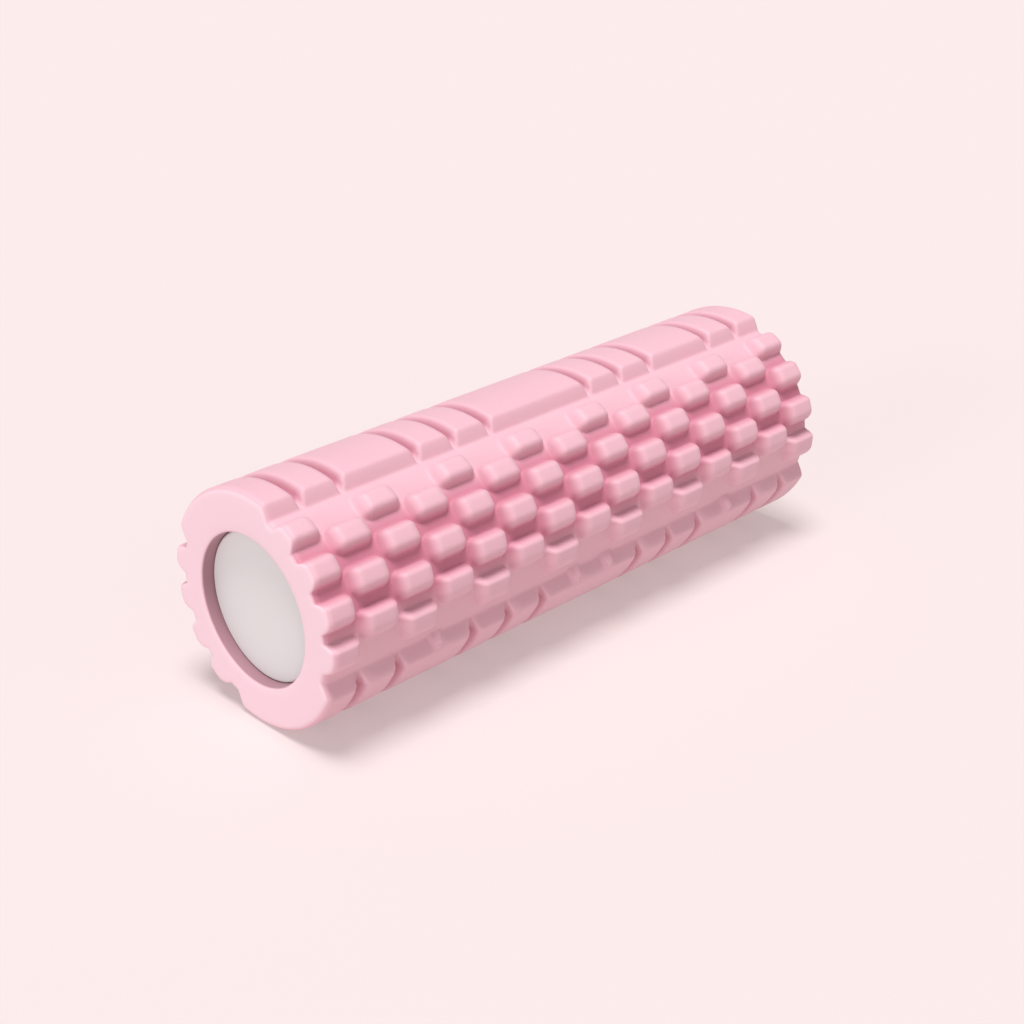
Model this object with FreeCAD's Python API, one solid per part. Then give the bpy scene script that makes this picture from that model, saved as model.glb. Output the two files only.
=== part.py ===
# Foam massage roller: a moulded EVA sleeve bonded over a rigid core tube, which is closed by a
# push-in cap at each end. All sizes are in millimetres and degrees.
#
# Frame: +X runs along the roller, +Z is up, and the origin is on the floor under the middle of the
# roller, which lies on its side. Angles round the roller start at the top and turn about +X, so
# that they grow from +Z towards -Y.

import FreeCAD, Part
import math
import os

# Overall size
ROLLER_DIAMETER = 100.0
ROLLER_LENGTH = 290.0
RIM_RADIUS = 2.5

# Core tube, which the sleeve is bonded to
CORE_DIAMETER = 64.0
CORE_WALL = 3.0

# Relief of the sleeve. Its two halves mirror each other across the plane through the crown, which
# is the middle of the upper band of blocks.
RELIEF_DEPTH = 5.4
BORE_LIP_RADIUS = 1.0
COLUMN_PITCH = 19.7
CROWN = -26.0

# Band of nubs on each half. The drafts are those of the sides of a nub in the middle row, measured
# from the radius, and each row further down leans over by a share of its angle.
NUB_BAND_CENTRE = CROWN + 87.2
NUB_ROW_PITCH = 10.1
NUB_ROWS = 7
NUB_COLUMN_SHIFT = -1.2
NUB_FOOT_LENGTH = 19.0
NUB_FOOT_CORNER = 3.0
NUB_TOP_LENGTH = 14.2
NUB_TOP_WIDTH = 6.6
NUB_TOP_CORNER = 1.6
NUB_UPPER_DRAFT = 20.5
NUB_LOWER_DRAFT = 29.5
NUB_LEAN = 0.5

# Bands of smooth blocks, one about the crown and one opposite, and the ribs beside the lower one
BLOCK_TOP_SPAN = 76.0
BLOCK_SIDE_SPAN = 5.4
GROOVE_TOP_WIDTH = 5.6
GROOVE_FLOOR_WIDTH = 2.0
UNCUT_EVERY = 4
RIB_WIDTH = 3.4
RIB_TOP_SPAN = 4.2
RIB_FOOT_SPAN = 7.4
RIB_STEP = 0.9

# End caps
CAP_RECESS = 5.5
CAP_FLANGE_THICKNESS = 2.2
CAP_EDGE_RADIUS = 0.8
CAP_FLANGE_CLEARANCE = 0.3
CAP_SKIRT_LENGTH = 14.0
CAP_SKIRT_WALL = 1.8
CAP_SKIRT_CLEARANCE = 0.35
CAP_LEAD_IN = 0.8
GRIP_RIB_COUNT = 8
GRIP_RIB_WIDTH = 2.4
GRIP_RIB_CLEARANCE = 0.05
WEB_COUNT = 6
WEB_THICKNESS = 1.5
WEB_HEIGHT = 8.0
BOSS_OUTER_DIAMETER = 12.0
BOSS_WALL = 2.0

# Lengths by which solids reach into or past each other so that they join or cut cleanly, and the
# distance within which two places count as one
OVERLAP = 1.5
OVERSHOOT = 4.0
SAME_PLACE = 1e-4

# Worked out from the sizes above
OUTER_RADIUS = ROLLER_DIAMETER / 2
FLOOR_RADIUS = OUTER_RADIUS - RELIEF_DEPTH
HALF_LENGTH = ROLLER_LENGTH / 2
CORE_RADIUS = CORE_DIAMETER / 2
CORE_INNER_RADIUS = CORE_RADIUS - CORE_WALL
CORE_HALF_LENGTH = HALF_LENGTH - CAP_RECESS - CAP_FLANGE_THICKNESS
BURIED_RADIUS = FLOOR_RADIUS - OVERLAP
CLEAR_RADIUS = OUTER_RADIUS + OVERLAP

CENTRE = FreeCAD.Vector(0, 0, 0)
ALONG = FreeCAD.Vector(1, 0, 0)


def at(x, radius, angle):
    """The point at x along the roller, at a radius and an angle round its axis."""
    turn = math.radians(angle)
    return FreeCAD.Vector(x, -radius * math.sin(turn), radius * math.cos(turn))


def turned(shape, angle):
    """A copy of the shape turned about the roller's axis."""
    copy = shape.copy()
    copy.rotate(CENTRE, ALONG, angle)
    return copy


def mirrored(shape):
    """The shape as it stands on the other half of the sleeve."""
    return shape.mirror(CENTRE, at(0, 1, CROWN + 90))


def moved(shape, x):
    """A copy of the shape moved along the roller."""
    copy = shape.copy()
    copy.translate(FreeCAD.Vector(x, 0, 0))
    return copy


def cylinder(radius, start, end):
    """A solid cylinder about the roller's axis, from x = start to x = end."""
    return Part.makeCylinder(radius, end - start, FreeCAD.Vector(start, 0, 0), ALONG)


def ring(outer_radius, inner_radius, start, end):
    """A tube about the roller's axis, from x = start to x = end."""
    hole = cylinder(inner_radius, start - OVERSHOOT, end + OVERSHOOT)
    return cylinder(outer_radius, start, end).cut(hole)


def rim_edges(solid, radius, x):
    """The circular edges of a solid that have this radius and lie at x."""
    circles = [edge for edge in solid.Edges if isinstance(edge.Curve, Part.Circle)]
    return [
        edge
        for edge in circles
        if abs(edge.Curve.Radius - radius) < SAME_PLACE and abs(edge.Curve.Center.x - x) < SAME_PLACE
    ]


def relief_share(radius):
    """How far down the relief a radius is: 0 at its tops and 1 at its floor."""
    return (OUTER_RADIUS - radius) / RELIEF_DEPTH


def nub_section(radius, lean):
    """The outline of a nub at one radius, with cut corners, square to the radius at angle 0."""
    share = relief_share(radius)
    half_length = (NUB_TOP_LENGTH + share * (NUB_FOOT_LENGTH - NUB_TOP_LENGTH)) / 2
    corner = NUB_TOP_CORNER + share * (NUB_FOOT_CORNER - NUB_TOP_CORNER)
    depth = share * RELIEF_DEPTH
    upper = NUB_TOP_WIDTH / 2 + depth * math.tan(math.radians(NUB_UPPER_DRAFT - lean))
    lower = NUB_TOP_WIDTH / 2 + depth * math.tan(math.radians(NUB_LOWER_DRAFT + lean))
    half = [
        (half_length - corner, upper),
        (half_length, upper - corner),
        (half_length, corner - lower),
        (half_length - corner, -lower),
    ]
    outline = half + [(-x, y) for x, y in reversed(half)]
    points = [FreeCAD.Vector(x, y, radius) for x, y in outline]
    return Part.makePolygon(points + points[:1])


def nub(lean):
    """A nub at angle 0. Its lower side is laid over further the more it leans."""
    sections = [nub_section(radius, lean) for radius in (BURIED_RADIUS, CLEAR_RADIUS)]
    return Part.makeLoft(sections, True, True)


def nub_band():
    """The separate nubs of one band. Every other column is shifted by half a step."""
    columns = int((HALF_LENGTH - RIM_RADIUS) / COLUMN_PITCH)
    half_rows = NUB_ROWS // 2
    nubs = []
    for row in range(-half_rows, half_rows + 1):
        turn = row * NUB_ROW_PITCH
        shape = turned(nub(turn * NUB_LEAN), NUB_BAND_CENTRE + turn)
        for column in range(-columns, columns + 1):
            if (row + column + half_rows) % 2 == 1:
                nubs.append(moved(shape, column * COLUMN_PITCH + NUB_COLUMN_SHIFT))
    return nubs


def boundaries():
    """The lines between blocks: where along the roller each is, and whether a groove cuts it."""
    count = int(HALF_LENGTH / COLUMN_PITCH)
    lines = []
    for step in range(count):
        for side in (-1, 1):
            lines.append((side * (step + 0.5) * COLUMN_PITCH, step % UNCUT_EVERY != 0))
    return lines


def block_edge_angle(radius, side):
    """The angle of a block's sloping side at one radius. Side is -1 or 1."""
    half_span = BLOCK_TOP_SPAN / 2 + relief_share(radius) * BLOCK_SIDE_SPAN
    return CROWN + side * half_span


def prism(wire, start, end):
    """The solid that a closed outline at x = start makes when it is drawn out to x = end."""
    return Part.Face(wire).extrude(FreeCAD.Vector(end - start, 0, 0))


def block_bar():
    """The upper band of blocks before its grooves are cut."""
    start = -HALF_LENGTH - OVERSHOOT
    low_outer, high_outer = [
        at(start, CLEAR_RADIUS, block_edge_angle(CLEAR_RADIUS, side)) for side in (-1, 1)
    ]
    low_inner, high_inner = [
        at(start, BURIED_RADIUS, block_edge_angle(BURIED_RADIUS, side)) for side in (-1, 1)
    ]
    outer_arc = Part.Arc(low_outer, at(start, CLEAR_RADIUS, CROWN), high_outer)
    inner_arc = Part.Arc(high_inner, at(start, BURIED_RADIUS, CROWN), low_inner)
    wire = Part.Wire(
        [
            outer_arc.toShape(),
            Part.makeLine(high_outer, high_inner),
            inner_arc.toShape(),
            Part.makeLine(low_inner, low_outer),
        ]
    )
    return prism(wire, start, -start)


def groove_half_width(radius):
    """Half the width of a groove at one radius."""
    narrowing = relief_share(radius) * (GROOVE_TOP_WIDTH - GROOVE_FLOOR_WIDTH)
    return (GROOVE_TOP_WIDTH - narrowing) / 2


def groove_cutter(x):
    """A ring of V section that cuts one groove through a band of blocks."""
    inner_radius = BURIED_RADIUS - OVERLAP
    outer_radius = CLEAR_RADIUS + OVERLAP
    # below the relief's floor the walls stand straight, so that they never meet
    floor_width = groove_half_width(FLOOR_RADIUS)
    outer_width = groove_half_width(outer_radius)
    outline = [
        at(x - floor_width, inner_radius, 0),
        at(x + floor_width, inner_radius, 0),
        at(x + floor_width, FLOOR_RADIUS, 0),
        at(x + outer_width, outer_radius, 0),
        at(x - outer_width, outer_radius, 0),
        at(x - floor_width, FLOOR_RADIUS, 0),
    ]
    face = Part.Face(Part.makePolygon(outline + outline[:1]))
    return face.revolve(CENTRE, ALONG, 360)


def rib(x):
    """A small stiffening rib down the sloping side of an uncut block in the lower band."""
    edge = block_edge_angle(OUTER_RADIUS, -1) + 180
    start = x - RIB_WIDTH / 2
    crest = OUTER_RADIUS - RIB_STEP
    outline = [
        at(start, crest, edge + RIB_TOP_SPAN),
        at(start, crest, edge - RIB_TOP_SPAN),
        at(start, FLOOR_RADIUS, edge - RIB_FOOT_SPAN),
        at(start, BURIED_RADIUS, edge - RIB_FOOT_SPAN),
        at(start, BURIED_RADIUS, edge + RIB_TOP_SPAN),
    ]
    return prism(Part.makePolygon(outline + outline[:1]), start, start + RIB_WIDTH)


def block_bands():
    """The separate blocks of both bands."""
    cutters = [groove_cutter(x) for x, grooved in boundaries() if grooved]
    blocks = block_bar().cut(cutters).Solids
    return blocks + [turned(block, 180) for block in blocks]


def sleeve_envelope():
    """The space the relief may fill: a cylinder with rounded rims."""
    solid = cylinder(OUTER_RADIUS, -HALF_LENGTH, HALF_LENGTH)
    rims = rim_edges(solid, OUTER_RADIUS, -HALF_LENGTH) + rim_edges(solid, OUTER_RADIUS, HALF_LENGTH)
    return solid.makeFillet(RIM_RADIUS, rims)


def sleeve_wall():
    """The sleeve up to the relief's floor, with rounded lips where the bore opens."""
    wall = ring(FLOOR_RADIUS, CORE_RADIUS, -HALF_LENGTH, HALF_LENGTH)
    lips = rim_edges(wall, CORE_RADIUS, -HALF_LENGTH) + rim_edges(wall, CORE_RADIUS, HALF_LENGTH)
    return wall.makeFillet(BORE_LIP_RADIUS, lips)


def foam_sleeve():
    """The moulded foam sleeve."""
    envelope = sleeve_envelope()
    ribs = [rib(x) for x, grooved in boundaries() if not grooved]
    half = [piece.common(envelope) for piece in nub_band() + ribs]
    blocks = [block.common(envelope) for block in block_bands()]
    return sleeve_wall().fuse(half + [mirrored(piece) for piece in half] + blocks)


def core_tube():
    """The rigid tube inside the sleeve. The caps' flanges rest on its two ends."""
    return ring(CORE_RADIUS, CORE_INNER_RADIUS, -CORE_HALF_LENGTH, CORE_HALF_LENGTH)


def cap_flange(outer_face):
    """The round plate that shows at the end of the roller, with a rounded front edge."""
    radius = CORE_RADIUS - CAP_FLANGE_CLEARANCE
    plate = cylinder(radius, outer_face, outer_face + CAP_FLANGE_THICKNESS)
    return plate.makeFillet(CAP_EDGE_RADIUS, rim_edges(plate, radius, outer_face))


def cap_skirt(start, end):
    """The plug's round wall, with a lead-in at its open end."""
    radius = CORE_INNER_RADIUS - CAP_SKIRT_CLEARANCE
    wall = ring(radius, radius - CAP_SKIRT_WALL, start, end)
    return wall.makeChamfer(CAP_LEAD_IN, rim_edges(wall, radius, end))


def grip_rib(start, end):
    """One rib on the plug's wall that grips the tube. Its far end slopes as the lead-in does."""
    root = CORE_INNER_RADIUS - CAP_SKIRT_CLEARANCE - CAP_SKIRT_WALL / 2
    crest = CORE_INNER_RADIUS - GRIP_RIB_CLEARANCE
    slope = crest - root
    half_width = GRIP_RIB_WIDTH / 2
    outline = [
        FreeCAD.Vector(start, -half_width, root),
        FreeCAD.Vector(start, -half_width, crest + OVERLAP),
        FreeCAD.Vector(end - slope - OVERLAP, -half_width, crest + OVERLAP),
        FreeCAD.Vector(end, -half_width, root),
    ]
    face = Part.Face(Part.makePolygon(outline + outline[:1]))
    bar = face.extrude(FreeCAD.Vector(0, GRIP_RIB_WIDTH, 0))
    return bar.common(cylinder(crest, start, end))


def web(start):
    """One radial web behind the plate, from the centre boss to the plug's wall."""
    inner = BOSS_OUTER_DIAMETER / 2 - BOSS_WALL / 2
    outer = CORE_INNER_RADIUS - CAP_SKIRT_CLEARANCE - CAP_SKIRT_WALL / 2
    corner = FreeCAD.Vector(start, -WEB_THICKNESS / 2, inner)
    return Part.makeBox(WEB_HEIGHT, WEB_THICKNESS, outer - inner, corner)


def end_cap():
    """The cap at the end where x is least."""
    outer_face = -HALF_LENGTH + CAP_RECESS
    seat = outer_face + CAP_FLANGE_THICKNESS
    # what stands on the plate starts inside it
    root = seat - CAP_FLANGE_THICKNESS / 2
    skirt_end = seat + CAP_SKIRT_LENGTH
    boss_radius = BOSS_OUTER_DIAMETER / 2
    pieces = [
        cap_skirt(root, skirt_end),
        ring(boss_radius, boss_radius - BOSS_WALL, root, seat + WEB_HEIGHT),
    ]
    web_bar = web(root)
    for index in range(WEB_COUNT):
        pieces.append(turned(web_bar, index * 360 / WEB_COUNT))
    rib_bar = grip_rib(root, skirt_end - CAP_LEAD_IN)
    for index in range(GRIP_RIB_COUNT):
        pieces.append(turned(rib_bar, index * 360 / GRIP_RIB_COUNT))
    return cap_flange(outer_face).fuse(pieces).removeSplitter()


def main():
    left_cap = end_cap()
    # half a turn about the vertical takes the left cap to the right end
    right_cap = left_cap.copy()
    right_cap.rotate(CENTRE, FreeCAD.Vector(0, 0, 1), 180)
    nodes = {
        "foam_sleeve": foam_sleeve(),
        "core_tube": core_tube(),
        "left_end_cap": left_cap,
        "right_end_cap": right_cap,
    }
    os.makedirs("parts", exist_ok=True)
    for name, shape in nodes.items():
        shape.translate(FreeCAD.Vector(0, 0, OUTER_RADIUS))
        shape.exportStep(f"parts/{name}.step")
        box = shape.optimalBoundingBox()
        print(
            f"{name}: {len(shape.Solids)} solid, valid {shape.isValid()}, volume {shape.Volume:.0f}, "
            f"x {box.XMin:.2f}..{box.XMax:.2f}, y {box.YMin:.2f}..{box.YMax:.2f}, "
            f"z {box.ZMin:.2f}..{box.ZMax:.2f}"
        )


main()
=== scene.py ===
"""A foam massage roller on a plain studio floor.

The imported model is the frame: its nodes give every place and overall size. The foam sleeve is
made here as a moulding, by pressing its relief into a plain tube with a Geometry Nodes tree. The
core tube and the end caps keep their own shapes and get their finishes here.

Places and sizes are in metres, apart from the relief's, which are in millimetres and degrees.
Angles round the roller start at the top and grow towards -Y.
"""

from __future__ import annotations

import logging
import math
from dataclasses import dataclass, field
from enum import Enum
from typing import Any, Mapping, Union

import bpy
import numpy as np
from mathutils import Matrix, Vector

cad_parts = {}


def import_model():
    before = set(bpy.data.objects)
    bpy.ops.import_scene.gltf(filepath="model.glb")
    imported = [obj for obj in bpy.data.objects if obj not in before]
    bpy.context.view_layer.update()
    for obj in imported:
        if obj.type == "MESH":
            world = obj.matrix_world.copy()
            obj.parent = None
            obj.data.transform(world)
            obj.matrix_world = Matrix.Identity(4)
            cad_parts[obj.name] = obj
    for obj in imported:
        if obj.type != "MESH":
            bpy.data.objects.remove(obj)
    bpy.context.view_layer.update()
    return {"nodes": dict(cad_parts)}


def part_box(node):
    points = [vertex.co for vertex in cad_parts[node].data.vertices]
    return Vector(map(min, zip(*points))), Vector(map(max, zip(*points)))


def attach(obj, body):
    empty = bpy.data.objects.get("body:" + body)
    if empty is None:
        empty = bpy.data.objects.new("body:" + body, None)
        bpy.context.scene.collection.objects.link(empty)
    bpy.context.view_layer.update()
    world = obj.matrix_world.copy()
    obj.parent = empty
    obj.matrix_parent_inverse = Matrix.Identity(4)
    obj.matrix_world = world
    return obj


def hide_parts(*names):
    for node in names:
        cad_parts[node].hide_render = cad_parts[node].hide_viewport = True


log = logging.getLogger("foam_roller")

MM = 0.001
HALF_TURN = 180.0

# The sleeve's points carry how deep each one lies in the relief: 0 on the tops, 1 on the relief's
# floor, and more than 1, up to the bore's own level, inside the bore. The foam's finish paints
# shade by this number: darker down in the relief and darker still inside the bore.
PAINTED_SHADE = "recess"
PAINTED_BORE_SHADE = 2.0

Number = Union[int, float]
Colour = tuple[float, float, float]
Tint = Union[Colour, bpy.types.NodeSocket]


class Rounding(Enum):
    """How two heights of the relief meet."""

    LOWER = "SMOOTH_MIN"
    HIGHER = "SMOOTH_MAX"


class Value:
    """A number in a node tree. Python's operators on it add Math nodes."""

    def __init__(self, graph: Graph, socket: bpy.types.NodeSocket) -> None:
        """Wraps an output socket.

        Args:
            graph: the tree's builder.
            socket: the output that gives the number.
        """
        self.graph = graph
        self.socket = socket

    def __add__(self, other: Operand) -> Value:
        """This plus another."""
        return self.graph.math("ADD", self, other)

    def __radd__(self, other: Operand) -> Value:
        """Another plus this."""
        return self.graph.math("ADD", other, self)

    def __sub__(self, other: Operand) -> Value:
        """This minus another."""
        return self.graph.math("SUBTRACT", self, other)

    def __rsub__(self, other: Operand) -> Value:
        """Another minus this."""
        return self.graph.math("SUBTRACT", other, self)

    def __mul__(self, other: Operand) -> Value:
        """This times another."""
        return self.graph.math("MULTIPLY", self, other)

    def __rmul__(self, other: Operand) -> Value:
        """Another times this."""
        return self.graph.math("MULTIPLY", other, self)

    def __truediv__(self, other: Operand) -> Value:
        """This divided by another."""
        return self.graph.math("DIVIDE", self, other)

    def __abs__(self) -> Value:
        """The size of this, without its sign."""
        return self.graph.math("ABSOLUTE", self)


Operand = Union[Value, Number]


class Graph:
    """Builds one node tree, of a material or of Geometry Nodes."""

    def __init__(self, tree: bpy.types.NodeTree) -> None:
        """Empties the tree.

        Args:
            tree: the node tree to build.
        """
        self.tree = tree
        tree.nodes.clear()

    def node(
        self,
        kind: str,
        settings: Mapping[str, Any] | None = None,
        inputs: Mapping[Union[str, int], Any] | None = None,
    ) -> bpy.types.Node:
        """Adds one node.

        Args:
            kind: the node's type name.
            settings: its own properties, set before its sockets.
            inputs: a value or a link for each of its sockets, by name or by place.

        Returns:
            The new node.
        """
        node = self.tree.nodes.new(kind)
        for name, setting in (settings or {}).items():
            setattr(node, name, setting)
        for key, value in (inputs or {}).items():
            self.feed(node.inputs[key], value)
        return node

    def feed(self, socket: bpy.types.NodeSocket, value: Any) -> None:
        """Links a socket to what gives its value, or sets the value on it.

        Args:
            socket: the input to feed.
            value: a Value, an output socket, or a constant.
        """
        if isinstance(value, Value):
            value = value.socket
        if isinstance(value, bpy.types.NodeSocket):
            self.tree.links.new(value, socket)
        else:
            socket.default_value = value

    def value(self, socket: bpy.types.NodeSocket) -> Value:
        """The number that an output socket gives."""
        return Value(self, socket)

    def math(self, operation: str, *operands: Operand) -> Value:
        """Adds one Math node.

        Args:
            operation: what it works out.
            operands: the numbers it works on, in order.

        Returns:
            Its result.
        """
        inputs = dict(enumerate(operands))
        return self.value(self.node("ShaderNodeMath", {"operation": operation}, inputs).outputs[0])

    def parts(self, vector: bpy.types.NodeSocket) -> tuple[Value, Value, Value]:
        """The three numbers of a vector."""
        x, y, z = self.node("ShaderNodeSeparateXYZ", inputs={0: vector}).outputs
        return self.value(x), self.value(y), self.value(z)

    def vector(self, x: Operand, y: Operand, z: Operand) -> bpy.types.NodeSocket:
        """A vector from its three numbers."""
        return self.node("ShaderNodeCombineXYZ", inputs={0: x, 1: y, 2: z}).outputs[0]

    def rounded(self, way: Rounding, first: Operand, second: Operand, reach: Operand) -> Value:
        """The lower or higher of two heights, with the corner between them rounded.

        Args:
            way: whether the lower or the higher is wanted.
            first: one height.
            second: the other height.
            reach: how near the heights are where the rounding starts.

        Returns:
            The blended height.
        """
        return self.math(way.value, first, second, reach)


# Finishes


class Finish:
    """What every finish has: a name, and a material made once."""

    name: str

    def material(self) -> bpy.types.Material:
        """Makes the finish's material when it is first asked for.

        Returns:
            The material.
        """
        made = bpy.data.materials.get(self.name)
        if made is None:
            made = bpy.data.materials.new(self.name)
            made.use_nodes = True
            graph = Graph(made.node_tree)
            shader = graph.node("ShaderNodeBsdfPrincipled")
            self.paint(graph, shader)
            graph.node("ShaderNodeOutputMaterial", inputs={"Surface": shader.outputs[0]})
        return made

    def paint(self, graph: Graph, shader: bpy.types.Node) -> None:
        """Sets the shader's sockets. Each finish has its own way."""
        raise NotImplementedError

    @staticmethod
    def noise(graph: Graph, grain: float, detail: float, roughness: float = 0.5) -> Value:
        """Noise fixed to the piece.

        Args:
            graph: the material's builder.
            grain: the size of its grain, in metres.
            detail: how many finer layers it has.
            roughness: how strong each finer layer is.

        Returns:
            A number from 0 to 1, about 0.5 on average.
        """
        place = graph.node("ShaderNodeTexCoord").outputs["Object"]
        inputs = {
            "Vector": place,
            "Scale": 1 / grain,
            "Detail": detail,
            "Roughness": roughness,
        }
        return graph.value(graph.node("ShaderNodeTexNoise", inputs=inputs).outputs[0])

    @staticmethod
    def mix(graph: Graph, share: Value, low: Tint, high: Tint) -> bpy.types.NodeSocket:
        """A colour between two others.

        Args:
            graph: the tree's builder.
            share: 0 for the first colour and 1 for the second.
            low: the first colour, or the output that gives it.
            high: the second colour, or the output that gives it.

        Returns:
            The mixed colour.
        """
        settings = {"data_type": "RGBA", "clamp_factor": True}
        node = graph.node("ShaderNodeMix", settings)
        first, second = [socket for socket in node.inputs if socket.type == "RGBA"]
        graph.feed(node.inputs[0], share)
        for socket, colour in ((first, low), (second, high)):
            graph.feed(socket, (*colour, 1.0) if isinstance(colour, tuple) else colour)
        return next(socket for socket in node.outputs if socket.type == "RGBA")

    @staticmethod
    def bump(graph: Graph, height: Value, depth: float, strength: float) -> bpy.types.NodeSocket:
        """A normal for small relief.

        Args:
            graph: the material's builder.
            height: the relief, from 0 to 1.
            depth: its real depth, in metres.
            strength: how much of it shows.

        Returns:
            The normal.
        """
        inputs = {"Height": height, "Distance": depth, "Strength": strength}
        return graph.node("ShaderNodeBump", inputs=inputs).outputs[0]


@dataclass(frozen=True)
class MouldedFoam(Finish):
    """Closed-cell EVA foam with the soft matte skin that the mould leaves.

    It has painted light on the end faces, which lie at end_place on each side of the roller's
    middle: they are paler. It also has painted shade down in its relief and inside its bore.
    """

    end_place: float
    name: str = "moulded_eva_foam"
    colour: Colour = (0.75, 0.435, 0.505)
    deeper: Colour = (0.735, 0.415, 0.485)
    # painted shade: the darker pink down among the nubs and in the grooves
    recessed: Colour = (0.60, 0.205, 0.29)
    # painted shade: the dark pink inside the bore
    bore: Colour = (0.40, 0.21, 0.25)
    # painted light: the paler pink on the end faces
    cut: Colour = (0.88, 0.62, 0.69)
    end_reach: float = 0.0008
    cloud_grain: float = 0.022
    cloud_detail: float = 3.0
    skin_grain: float = 0.0009
    skin_detail: float = 3.0
    skin_coarseness: float = 0.6
    skin_share: float = 0.6
    skin_depth: float = 0.00012
    skin_strength: float = 0.5
    cell_grain: float = 0.0016
    cell_detail: float = 1.0
    roughness: float = 0.56
    roughness_spread: float = 0.16
    refraction: float = 1.45
    sheen: float = 0.12
    sheen_roughness: float = 0.5

    def paint(self, graph: Graph, shader: bpy.types.Node) -> None:
        """Clouded pink, with painted shade deeper in the relief and inside the bore and painted
        light on the ends, with fine cells in its skin.

        Args:
            graph: the material's builder.
            shader: the material's shader.
        """
        clouds = self.noise(graph, self.cloud_grain, self.cloud_detail)
        skin = self.noise(graph, self.skin_grain, self.skin_detail, self.skin_coarseness)
        cells = self.noise(graph, self.cell_grain, self.cell_detail)
        colour = self.mix(graph, clouds, self.colour, self.deeper)
        # painted shade: darker towards the relief's floor, and darker still inside the bore
        named = {"attribute_name": PAINTED_SHADE}
        recess = graph.value(graph.node("ShaderNodeAttribute", named).outputs["Fac"])
        colour = self.mix(graph, recess, colour, self.recessed)
        colour = self.mix(graph, recess - 1.0, colour, self.bore)
        # painted light: paler on the end faces
        place = graph.node("ShaderNodeTexCoord").outputs["Object"]
        along = abs(graph.parts(place)[0])
        end = graph.math("MAXIMUM", (along - self.end_place) * (1 / self.end_reach) + 1.0, 0.0)
        graph.feed(shader.inputs["Base Color"], self.mix(graph, end, colour, self.cut))
        roughness = self.roughness + (skin - 0.5) * self.roughness_spread
        graph.feed(shader.inputs["Roughness"], roughness)
        height = skin * self.skin_share + cells * (1.0 - self.skin_share)
        normal = self.bump(graph, height, self.skin_depth, self.skin_strength)
        graph.feed(shader.inputs["Normal"], normal)
        graph.feed(shader.inputs["IOR"], self.refraction)
        graph.feed(shader.inputs["Sheen Weight"], self.sheen)
        graph.feed(shader.inputs["Sheen Roughness"], self.sheen_roughness)


@dataclass(frozen=True)
class MouldedPlastic(Finish):
    """Injection-moulded plastic with a fine satin grain."""

    name: str
    colour: Colour
    shade: Colour
    roughness: float
    roughness_spread: float = 0.12
    cloud_grain: float = 0.03
    texture_grain: float = 0.0004
    texture_depth: float = 0.00003
    texture_strength: float = 0.4
    detail: float = 2.0
    refraction: float = 1.49

    def paint(self, graph: Graph, shader: bpy.types.Node) -> None:
        """An even colour, faintly clouded, with a fine grain.

        Args:
            graph: the material's builder.
            shader: the material's shader.
        """
        clouds = self.noise(graph, self.cloud_grain, self.detail)
        texture = self.noise(graph, self.texture_grain, self.detail)
        graph.feed(shader.inputs["Base Color"], self.mix(graph, clouds, self.colour, self.shade))
        roughness = self.roughness + (texture - 0.5) * self.roughness_spread
        graph.feed(shader.inputs["Roughness"], roughness)
        normal = self.bump(graph, texture, self.texture_depth, self.texture_strength)
        graph.feed(shader.inputs["Normal"], normal)
        graph.feed(shader.inputs["IOR"], self.refraction)


@dataclass(frozen=True)
class StudioPaper(Finish):
    """The studio's pale sheet, which is lit from below as well as from above."""

    name: str = "studio_sheet"
    colour: Colour = (0.45, 0.385, 0.385)
    glow: Colour = (0.36, 0.31, 0.31)
    glow_strength: float = 1.0
    roughness: float = 1.0
    gloss: float = 0.0

    def paint(self, graph: Graph, shader: bpy.types.Node) -> None:
        """Plain and quite without gloss.

        Args:
            graph: the material's builder.
            shader: the material's shader.
        """
        graph.feed(shader.inputs["Base Color"], (*self.colour, 1.0))
        graph.feed(shader.inputs["Roughness"], self.roughness)
        graph.feed(shader.inputs["Specular IOR Level"], self.gloss)
        graph.feed(shader.inputs["Emission Color"], (*self.glow, 1.0))
        graph.feed(shader.inputs["Emission Strength"], self.glow_strength)


CAP_FINISH = MouldedPlastic(
    name="cap_plastic",
    colour=(0.74, 0.72, 0.725),
    shade=(0.70, 0.68, 0.685),
    roughness=0.34,
)
TUBE_FINISH = MouldedPlastic(
    name="tube_plastic",
    colour=(0.80, 0.79, 0.76),
    shade=(0.75, 0.74, 0.71),
    roughness=0.45,
)


# The foam sleeve


@dataclass
class ReliefSizes:
    """The sleeve's relief, in millimetres and degrees.

    Its two halves mirror each other across the plane through the crown, which is the middle of the
    upper block band. Angles within a half grow from the crown. A span and a turn are angles. A
    fullness is how long a side stays high before it drops, as a power. A reach is how far an edge's
    rounding or the painted shade's fade goes.
    """

    relief_depth: float = 5.4
    crown_turn: float = -26.0
    column_pitch: float = 19.7
    nub_column_shift: float = -1.2
    nub_band_turn: float = 87.2
    row_pitch: float = 10.1
    nub_top_length: float = 9.8
    nub_foot_length: float = 19.0
    nub_end_fullness: float = 2.3
    nub_top_span: float = 4.2
    nub_shoulder: float = 1.8
    nub_side_fullness: float = 2.3
    nub_upper_draft: float = 20.5
    nub_lower_draft: float = 36.0
    nub_lean: float = 0.5
    block_top_span: float = 76.0
    block_side_span: float = 5.4
    block_edge_reach: float = 1.5
    groove_top_width: float = 13.0
    groove_floor_width: float = 1.8
    groove_fullness: float = 3.4
    groove_count: float = 7.0
    uncut_every: float = 4.0
    rib_width: float = 3.4
    rib_end_steepness: float = 3.0
    rib_step: float = 0.7
    rib_top_span: float = 4.2
    rib_foot_span: float = 7.4
    rib_edge_reach: float = 0.7
    foot_reach: float = 0.8
    # how far in from the band edges the painted shade fades in, among the nubs and by the grooves
    recess_reach: float = 13.0
    groove_recess_reach: float = 3.0


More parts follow.
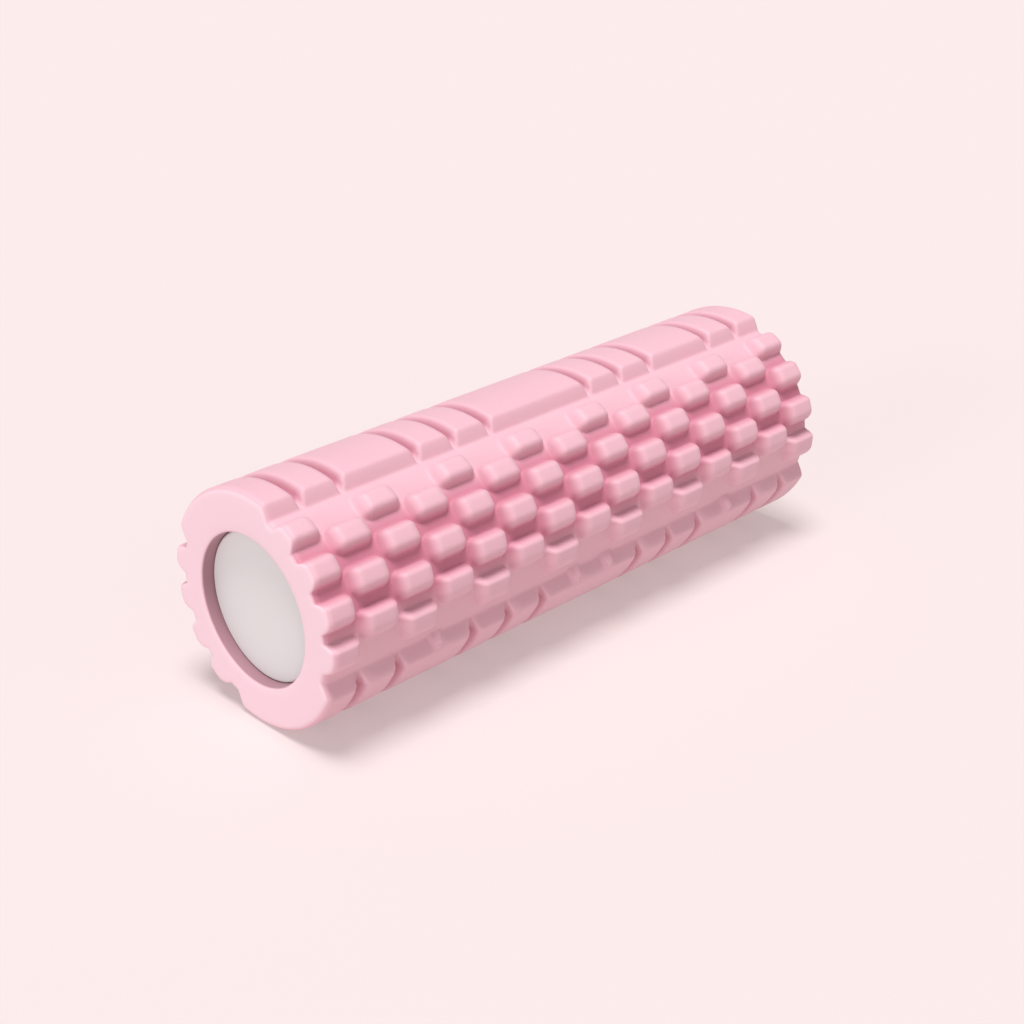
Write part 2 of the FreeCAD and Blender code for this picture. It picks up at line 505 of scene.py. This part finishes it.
class ReliefTree:
    """A Geometry Nodes tree that presses the relief into a plain tube about the roller's axis.

    The relief is worked out at each point from its place along the roller and round it, as the
    height over the relief's floor. A point on the tube's outer side moves by the whole of it, and
    one on an end face by its share of the way out from the bore.
    """

    ODD_ROW_LIMIT = 3
    EVEN_ROW_LIMIT = 2
    FAR = 100.0

    def __init__(self, name: str, sizes: Mapping[str, float]) -> None:
        """Makes the tree.

        Args:
            name: the tree's name.
            sizes: the name and the value of each of its inputs.
        """
        self.sizes = dict(sizes)
        self.tree = bpy.data.node_groups.new(name, "GeometryNodeTree")
        self.graph = Graph(self.tree)
        self.keys: dict[str, str] = {}
        interface = self.tree.interface
        interface.new_socket("Geometry", in_out="INPUT", socket_type="NodeSocketGeometry")
        for label in self.sizes:
            item = interface.new_socket(label, in_out="INPUT", socket_type="NodeSocketFloat")
            self.keys[label] = item.identifier
        item = interface.new_socket("Finish", in_out="INPUT", socket_type="NodeSocketMaterial")
        self.keys["Finish"] = item.identifier
        interface.new_socket("Geometry", in_out="OUTPUT", socket_type="NodeSocketGeometry")
        self.entry = self.graph.node("NodeGroupInput")
        self.build()

    def size(self, label: str) -> Value:
        """The tree's input of this name."""
        return self.graph.value(self.entry.outputs[label])

    def from_crown(self, turn: Value) -> Value:
        """An angle's distance from the crown, from 0 to 180 degrees."""
        around = turn - self.size("Crown Turn") + HALF_TURN
        return abs(self.graph.math("FLOORED_MODULO", around, 2 * HALF_TURN) - HALF_TURN)

    def slope(self, place: Value, top: Value, foot: Value, height: Value) -> Value:
        """The height of a straight side.

        Args:
            place: how far out a point is.
            top: how far out the side's top edge is.
            foot: how far out its foot is.
            height: how high the top edge is over the foot.

        Returns:
            The side's height there, which goes on past both edges.
        """
        return (foot - place) * height / (foot - top)

    def fall(self, place: Value, top: Value, foot: Value, fullness: Value) -> Value:
        """How far a soft-shouldered side has fallen, from 0 at its top edge to 1 at its foot.

        Args:
            place: how far out a point is.
            top: how far out the flat top ends.
            foot: how far out the side's foot is.
            fullness: how long the side stays high before it drops.

        Returns:
            The share of the height that is lost there, which goes on past the foot.
        """
        share = self.graph.math("MAXIMUM", (place - top) / (foot - top), 0.0)
        return self.graph.math("POWER", share, fullness)

    def clamped(self, value: Value) -> Value:
        """The number, kept between 0 and 1."""
        return self.graph.math("MINIMUM", self.graph.math("MAXIMUM", value, 0.0), 1.0)

    def nearest(self, place: Value, odd: int) -> Value:
        """The nearest even or odd whole number."""
        return self.graph.math("ROUND", (place - odd) * 0.5) * 2 + odd

    def nub(self, along: Value, around: Value, odd: int, limit: int) -> Value:
        """The height of the nearest nub of the even or of the odd columns.

        A nub's upper side is steep and its lower side is laid over, more so in each row further
        down, so that the foam leaves its mould.

        Args:
            along: the place along the roller.
            around: the angle from the band's centre.
            odd: 0 for the even columns and rows, and 1 for the odd ones.
            limit: the last row on each side of the centre.

        Returns:
            The nub's height at the point.
        """
        graph = self.graph
        depth = self.size("Relief Depth")
        pitch, row_pitch = self.size("Column Pitch"), self.size("Row Pitch")
        shift = self.size("Nub Column Shift")
        column = self.nearest((along - shift) / pitch, odd)
        row = graph.math("MINIMUM", self.nearest(around / row_pitch, odd), limit)
        row_turn = graph.math("MAXIMUM", row, -limit) * row_pitch
        # an angle's length is taken halfway down the relief
        degree = (self.size("Outer Radius") - depth * 0.5) * math.radians(1)
        x = abs(along - shift - column * pitch)
        y = (around - row_turn) * degree
        top_x, foot_x = self.size("Nub Top Length") * 0.5, self.size("Nub Foot Length") * 0.5
        top_y = self.size("Nub Top Span") * 0.5 * degree
        lean = row_turn * self.size("Nub Lean")
        fall = self.fall(x, top_x, foot_x, self.size("Nub End Fullness"))
        for place, draft in (
            (y, self.size("Nub Lower Draft") + lean),
            (y * -1.0, self.size("Nub Upper Draft") - lean),
        ):
            spread = depth * graph.math("TANGENT", graph.math("RADIANS", draft))
            foot_y = top_y + self.size("Nub Shoulder") + spread
            fall = fall + self.fall(place, top_y, foot_y, self.size("Nub Side Fullness"))
        return (1.0 - fall) * depth

    def blocks(self, along: Value, around: Value, upper: Value) -> Value:
        """The height of the nearer band of blocks and of the ribs beside the lower band.

        Args:
            along: the place along the roller.
            around: the angle from the band's centre.
            upper: 1 in the upper band and 0 in the lower one.

        Returns:
            The height at the point.
        """
        graph = self.graph
        depth = self.size("Relief Depth")
        pitch = self.size("Column Pitch")
        steps = abs(along) / pitch
        step = graph.math("FLOOR", steps)
        from_line = abs(steps - step - 0.5) * pitch
        # every so many lines between blocks is left uncut, and so is what lies past the last groove
        turn_in_cycle = graph.math("FLOORED_MODULO", step, self.size("Uncut Every"))
        ribbed = graph.math("LESS_THAN", turn_in_cycle, 0.5)
        past = graph.math("GREATER_THAN", step, self.size("Groove Count") - 0.5)
        edge = self.size("Block Top Span") * 0.5
        foot = edge + self.size("Block Side Span")
        side = self.slope(around, edge, foot, depth)
        # a groove's wall rises away from the groove's centre to its soft shoulder
        floor_half = self.size("Groove Floor Width") * 0.5
        top_half = self.size("Groove Top Width") * 0.5
        away = top_half + floor_half - from_line
        fall = self.fall(away, floor_half, top_half, self.size("Groove Fullness"))
        # the wall's own top lies clear of the block's, so that rounding leaves the block's flat
        reach = self.size("Block Edge Reach")
        wall = (1.0 - fall) * (depth + reach) + (ribbed + past) * self.FAR
        block = graph.rounded(Rounding.LOWER, side, wall, reach)
        block = graph.rounded(Rounding.LOWER, block, depth, reach)
        crest = depth - self.size("Rib Step")
        rib_side = self.slope(
            around, edge + self.size("Rib Top Span"), edge + self.size("Rib Foot Span"), crest
        )
        rib_half = self.size("Rib Width") * 0.5
        rib_wall = (rib_half - from_line) * self.size("Rib End Steepness") + crest
        rib_reach = self.size("Rib Edge Reach")
        rib = graph.rounded(Rounding.LOWER, rib_side, crest, rib_reach)
        rib = graph.rounded(Rounding.LOWER, rib, rib_wall, rib_reach)
        rib = rib - (upper + 1.0 - ribbed) * self.FAR
        return graph.rounded(Rounding.HIGHER, block, rib, rib_reach)

    def height(self, along: Value, crown: Value) -> Value:
        """The relief's height over its floor.

        Args:
            along: the place along the roller.
            crown: the angle from the crown.

        Returns:
            The height at the point, from about 0 to the relief's depth.
        """
        graph = self.graph
        nub_turn = crown - self.size("Nub Band Turn")
        foot_reach = self.size("Foot Reach")
        nubs = graph.rounded(
            Rounding.HIGHER,
            self.nub(along, nub_turn, 0, self.EVEN_ROW_LIMIT),
            self.nub(along, nub_turn, 1, self.ODD_ROW_LIMIT),
            foot_reach,
        )
        nubs = graph.rounded(Rounding.HIGHER, nubs, 0.0, foot_reach)
        upper = graph.math("LESS_THAN", crown, HALF_TURN / 2)
        blocks = self.blocks(along, self.block_turn(crown), upper)
        blocks = graph.rounded(Rounding.HIGHER, blocks, 0.0, foot_reach)
        return graph.math("MAXIMUM", nubs, blocks)

    def block_turn(self, crown: Value) -> Value:
        """The angle from the middle of the nearer block band."""
        return self.graph.math("MINIMUM", crown, HALF_TURN - crown)

    def recess(self, crown: Value, radius: Value, height: Value) -> Value:
        """How deep a point lies among the nubs, in a groove or inside the bore, for the painted
        shade.

        Args:
            crown: the angle from the crown.
            radius: the distance from the axis.
            height: the relief's height.

        Returns:
            The number that the finish takes its colour from.
        """
        # painted shade: lower in the relief is darker, fading in from the edges of the bands
        low = 1.0 - height / self.size("Relief Depth")
        last_row = self.size("Row Pitch") * self.ODD_ROW_LIMIT
        from_edge = last_row - abs(crown - self.size("Nub Band Turn"))
        among_nubs = self.clamped(from_edge / self.size("Recess Reach"))
        from_edge = self.size("Block Top Span") * 0.5 - self.block_turn(crown)
        among_blocks = self.clamped(from_edge / self.size("Groove Recess Reach"))
        # painted shade inside the bore
        in_bore = self.clamped(self.size("Lip Radius") - radius)
        recess = self.graph.math("MAXIMUM", low * among_nubs, low * among_blocks)
        return self.graph.math("MAXIMUM", recess, in_bore * PAINTED_BORE_SHADE)

    def scale(self, radius: Value, height: Value) -> Value:
        """How much nearer to the axis the relief brings a point, less so further down an end face.

        Args:
            radius: the distance from the axis.
            height: the relief's height.

        Returns:
            The new distance over the old one.
        """
        lip = self.size("Lip Radius")
        face = self.size("Outer Radius") - self.size("Rim Radius") - lip
        share = self.clamped((radius - lip) / face)
        return (radius + (height - self.size("Relief Depth")) * share) / radius

    def build(self) -> None:
        """Adds the nodes, from the points' places to the finished surface."""
        graph = self.graph
        x, y, z = graph.parts(graph.node("GeometryNodeInputPosition").outputs[0])
        along, across = x * (1 / MM), y * (1 / MM)
        up = z * (1 / MM) - self.size("Axis Height")
        radius = graph.math("SQRT", across * across + up * up)
        crown = self.from_crown(graph.math("DEGREES", graph.math("ARCTAN2", across * -1.0, up)))
        height = self.height(along, crown)
        recess = self.recess(crown, radius, height)
        scale = self.scale(radius, height)
        moved = graph.vector(x, y * scale, (up * scale + self.size("Axis Height")) * MM)
        # the points carry the number that the finish paints shade by
        marked = graph.node(
            "GeometryNodeStoreNamedAttribute",
            {"data_type": "FLOAT", "domain": "POINT"},
            {"Geometry": self.entry.outputs["Geometry"], "Name": PAINTED_SHADE, "Value": recess},
        )
        pressed = graph.node(
            "GeometryNodeSetPosition",
            inputs={"Geometry": marked.outputs[0], "Position": moved},
        )
        smooth = graph.node("GeometryNodeSetShadeSmooth", inputs={0: pressed.outputs[0]})
        real = graph.node("GeometryNodeRealizeInstances", inputs={0: smooth.outputs[0]})
        finished = graph.node(
            "GeometryNodeSetMaterial",
            inputs={"Geometry": real.outputs[0], "Material": self.entry.outputs["Finish"]},
        )
        graph.node("NodeGroupOutput", inputs={0: finished.outputs[0]})

    def press(self, blank: bpy.types.Object, finish: bpy.types.Material) -> bpy.types.Mesh:
        """Runs the tree on a blank.

        Args:
            blank: the plain tube. Its modifier is removed again.
            finish: the material that the result gets.

        Returns:
            The pressed shape as a plain mesh.
        """
        modifier = blank.modifiers.new(self.tree.name, "NODES")
        modifier.node_group = self.tree
        for label, value in self.sizes.items():
            modifier[self.keys[label]] = float(value)
        modifier[self.keys["Finish"]] = finish
        bpy.context.view_layer.update()
        shown = blank.evaluated_get(bpy.context.evaluated_depsgraph_get())
        mesh = bpy.data.meshes.new_from_object(shown)
        blank.modifiers.remove(modifier)
        return mesh


@dataclass
class FoamSleeve:
    """The moulded foam sleeve, which stands for the plain foam_sleeve node.

    Its line counts and steps set how fine the plain tube is before the relief is pressed into it.
    A band step and a top step are angles in degrees, and so is the flank reach, which is how much
    of the block band's edge gets the finer of the two.
    """

    relief: ReliefSizes = field(default_factory=ReliefSizes)
    rim_radius: float = 2.6
    lip_radius: float = 1.0
    lines_per_column: int = 18
    bunching: float = 0.35
    rim_lines: int = 7
    face_lines: int = 3
    lip_lines: int = 4
    bore_lines: int = 8
    band_step: float = 0.76
    flank_reach: float = 3.0
    top_step: float = 3.6
    fullness: float = 1.0
    half_length: float = field(init=False)
    outer_radius: float = field(init=False)
    axis_height: float = field(init=False)
    bore_radius: float = field(init=False)
    finish: MouldedFoam = field(init=False)

    def __post_init__(self) -> None:
        """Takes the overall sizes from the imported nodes."""
        low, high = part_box("foam_sleeve")
        bore_low, bore_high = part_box("core_tube")
        self.half_length = (high.x - low.x) / 2 / MM
        self.outer_radius = (high.z - low.z) / 2 / MM
        self.axis_height = (high.z + low.z) / 2 / MM
        self.bore_radius = (bore_high.z - bore_low.z) / 2 / MM
        self.finish = MouldedFoam(end_place=high.x)

    def outer_line(self) -> list[tuple[float, float]]:
        """The outer side, with its lines closer together where the nubs' ends and grooves are.

        Returns:
            The place along the roller and the radius of each line.
        """
        pitch = self.relief.column_pitch
        end = self.half_length - self.rim_radius
        columns = int(end / pitch)
        line = []
        for index in range(-columns * self.lines_per_column, columns * self.lines_per_column + 1):
            even = index * pitch / self.lines_per_column
            bunch = self.bunching * pitch / math.tau * math.sin(math.tau * even / pitch)
            line.append(even + bunch)
        count = max(2, round((end - columns * pitch) * self.lines_per_column / pitch))
        for index in range(1, count + 1):
            place = columns * pitch + (end - columns * pitch) * index / count
            line.append(place)
            line.insert(0, -place)
        return [(place, self.outer_radius) for place in line]

    def end_line(self) -> list[tuple[float, float]]:
        """The section from the outer side over the rim, down the end face and over the lip.

        Returns:
            The place along the roller and the radius of each line, at the right end.
        """
        line = []
        for index in range(1, self.rim_lines + 1):
            turn = math.pi / 2 * index / self.rim_lines
            line.append(
                (
                    self.half_length - self.rim_radius * (1 - math.sin(turn)),
                    self.outer_radius - self.rim_radius * (1 - math.cos(turn)),
                )
            )
        face_top = self.outer_radius - self.rim_radius
        face_foot = self.bore_radius + self.lip_radius
        for index in range(1, self.face_lines + 1):
            share = index / (self.face_lines + 1)
            line.append((self.half_length, face_top + (face_foot - face_top) * share))
        for index in range(self.lip_lines + 1):
            turn = math.pi / 2 * index / self.lip_lines
            line.append(
                (
                    self.half_length - self.lip_radius * (1 - math.cos(turn)),
                    face_foot - self.lip_radius * math.sin(turn),
                )
            )
        return line

    def section(self) -> np.ndarray:
        """The closed outline of the plain tube.

        Returns:
            Rows of place along the roller and radius.
        """
        right = self.end_line()
        left = [(-place, radius) for place, radius in reversed(right)]
        bore_end = right[-1][0]
        bore = []
        for index in range(1, self.bore_lines):
            share = index / self.bore_lines
            bore.append((bore_end * (1 - 2 * share), self.bore_radius))
        return np.array(self.outer_line() + right + bore + left)

    def turns(self) -> np.ndarray:
        """The angles of the lines along the tube, closer together where there is relief.

        Returns:
            The angles, in radians.
        """
        relief = self.relief
        top_edge = relief.block_top_span / 2 - self.flank_reach
        top_count = round(2 * top_edge / self.top_step)
        band_count = round((HALF_TURN - 2 * top_edge) / self.band_step)
        stretches = [
            np.linspace(-top_edge, top_edge, top_count, endpoint=False),
            np.linspace(top_edge, HALF_TURN - top_edge, band_count, endpoint=False),
        ]
        half = np.concatenate(stretches) + relief.crown_turn
        return np.radians(np.concatenate([half, half + HALF_TURN]))

    def blank(self) -> bpy.types.Mesh:
        """Makes the plain tube, closed both round the roller and round its own section.

        Returns:
            Its mesh.
        """
        section, turns = self.section(), self.turns()
        places, radii = section[:, 0], section[:, 1]
        count, around = len(section), len(turns)
        points = np.empty((around, count, 3))
        points[..., 0] = places
        points[..., 1] = -np.sin(turns)[:, None] * radii
        points[..., 2] = np.cos(turns)[:, None] * radii + self.axis_height
        grid = np.arange(around * count).reshape(around, count)
        over, on = np.roll(grid, -1, axis=0), np.roll(grid, -1, axis=1)
        both = np.roll(over, -1, axis=1)
        faces = np.stack([grid, over, both, on], axis=-1).reshape(-1, 4)
        mesh = bpy.data.meshes.new("sleeve_blank")
        mesh.from_pydata((points.reshape(-1, 3) * MM).tolist(), [], faces.tolist())
        return mesh

    def build(self) -> bpy.types.Object:
        """Presses the relief into the blank.

        Returns:
            The finished sleeve, riding on the roller and standing for its node.
        """
        sizes = {
            "Axis Height": self.axis_height,
            "Outer Radius": self.outer_radius,
            "Rim Radius": self.rim_radius,
            "Lip Radius": self.bore_radius + self.lip_radius,
        }
        for name, value in vars(self.relief).items():
            sizes[name.replace("_", " ").title()] = value
        blank = bpy.data.objects.new("sleeve_blank", self.blank())
        bpy.context.scene.collection.objects.link(blank)
        tree = ReliefTree("sleeve_relief", sizes)
        mesh = tree.press(blank, self.finish.material())
        mesh.name = "moulded_sleeve"
        bpy.data.objects.remove(blank)
        sleeve = bpy.data.objects.new("moulded_sleeve", mesh)
        bpy.context.scene.collection.objects.link(sleeve)
        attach(sleeve, "roller")
        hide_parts("foam_sleeve")
        log.info("%s: %d faces", sleeve.name, len(mesh.polygons))
        return sleeve


# Rigid pieces


@dataclass
class RigidPiece:
    """A rigid node that keeps its own shape and gets a finish."""

    node: str
    finish: Finish

    def dress(self, nodes: Mapping[str, bpy.types.Object]) -> None:
        """Puts the finish on the node.

        Args:
            nodes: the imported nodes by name.
        """
        piece = nodes[self.node]
        for slot in piece.material_slots:
            slot.material = self.finish.material()
        log.info("%s: %s", self.node, self.finish.name)


# The studio


@dataclass(frozen=True)
class SoftLamp:
    """A large soft light far off. Its softness is how wide it looks, in degrees."""

    name: str
    towards: tuple[float, float, float]
    strength: float
    softness: float

    def hang(self) -> None:
        """Adds the light, shining from its side of the roller."""
        data = bpy.data.lights.new(self.name, "SUN")
        data.energy = self.strength
        data.angle = math.radians(self.softness)
        lamp = bpy.data.objects.new(self.name, data)
        lamp.rotation_euler = Vector(self.towards).to_track_quat("Z", "Y").to_euler()
        bpy.context.scene.collection.objects.link(lamp)
        log.info("%s: %.2f, %.0f degrees across", self.name, self.strength, self.softness)


@dataclass
class Studio:
    """The floor, the light and the camera."""

    floor_size: float = 12.0
    paper: StudioPaper = field(default_factory=StudioPaper)
    sky: Colour = (0.33, 0.33, 0.33)
    backdrop: Colour = (0.973, 0.838, 0.838)
    lamps: tuple[SoftLamp, ...] = (
        SoftLamp("key_light", (-0.12, -0.05, 0.99), 3.0, 24.0),
        SoftLamp("end_fill", (-0.97, -0.05, 0.22), 0.9, 30.0),
        SoftLamp("front_fill", (-0.30, -0.90, 0.30), 0.4, 50.0),
    )
    camera_place: tuple[float, float, float] = (-0.51535, -0.52036, 0.40169)
    camera_ahead: tuple[float, float, float] = (0.62919, 0.64067, -0.44008)
    camera_lens: float = 65.83
    camera_near: float = 0.01
    sensor_width: float = 36.0

    def lay_floor(self) -> None:
        """A plain floor at the height on which the roller lies."""
        half = self.floor_size / 2
        corners = [(-half, -half, 0), (half, -half, 0), (half, half, 0), (-half, half, 0)]
        mesh = bpy.data.meshes.new("studio_floor")
        mesh.from_pydata(corners, [], [(0, 1, 2, 3)])
        mesh.materials.append(self.paper.material())
        floor = bpy.data.objects.new("studio_floor", mesh)
        bpy.context.scene.collection.objects.link(floor)
        log.info("studio_floor: %.0f m square", self.floor_size)

    def light(self) -> None:
        """An even sky, with a pale backdrop where it shows, and the soft lamps."""
        world = bpy.data.worlds.new("studio_sky")
        world.use_nodes = True
        graph = Graph(world.node_tree)
        seen = graph.value(graph.node("ShaderNodeLightPath").outputs["Is Camera Ray"])
        colour = Finish.mix(graph, seen, self.sky, self.backdrop)
        background = graph.node("ShaderNodeBackground", inputs={"Color": colour})
        graph.node("ShaderNodeOutputWorld", inputs={"Surface": background.outputs[0]})
        bpy.context.scene.world = world
        for lamp in self.lamps:
            lamp.hang()

    def set_camera(self) -> None:
        """The camera, level from side to side."""
        data = bpy.data.cameras.new("studio_camera")
        data.lens = self.camera_lens
        data.sensor_width = self.sensor_width
        data.clip_start = self.camera_near
        camera = bpy.data.objects.new("studio_camera", data)
        turn = Vector(self.camera_ahead).to_track_quat("-Z", "Y").to_matrix().to_4x4()
        camera.matrix_world = Matrix.Translation(self.camera_place) @ turn
        scene = bpy.context.scene
        scene.collection.objects.link(camera)
        scene.camera = camera
        scene.view_settings.view_transform = "Standard"

    def build(self) -> None:
        """Sets up the whole studio."""
        self.set_camera()
        self.lay_floor()
        self.light()


def main() -> None:
    """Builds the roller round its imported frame, and the studio round the roller."""
    logging.basicConfig(level=logging.INFO, format="%(name)s: %(message)s")
    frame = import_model()
    Studio().build()
    FoamSleeve().build()
    for piece in (
        RigidPiece("core_tube", TUBE_FINISH),
        RigidPiece("left_end_cap", CAP_FINISH),
        RigidPiece("right_end_cap", CAP_FINISH),
    ):
        piece.dress(frame["nodes"])


if __name__ == "__main__":
    main()
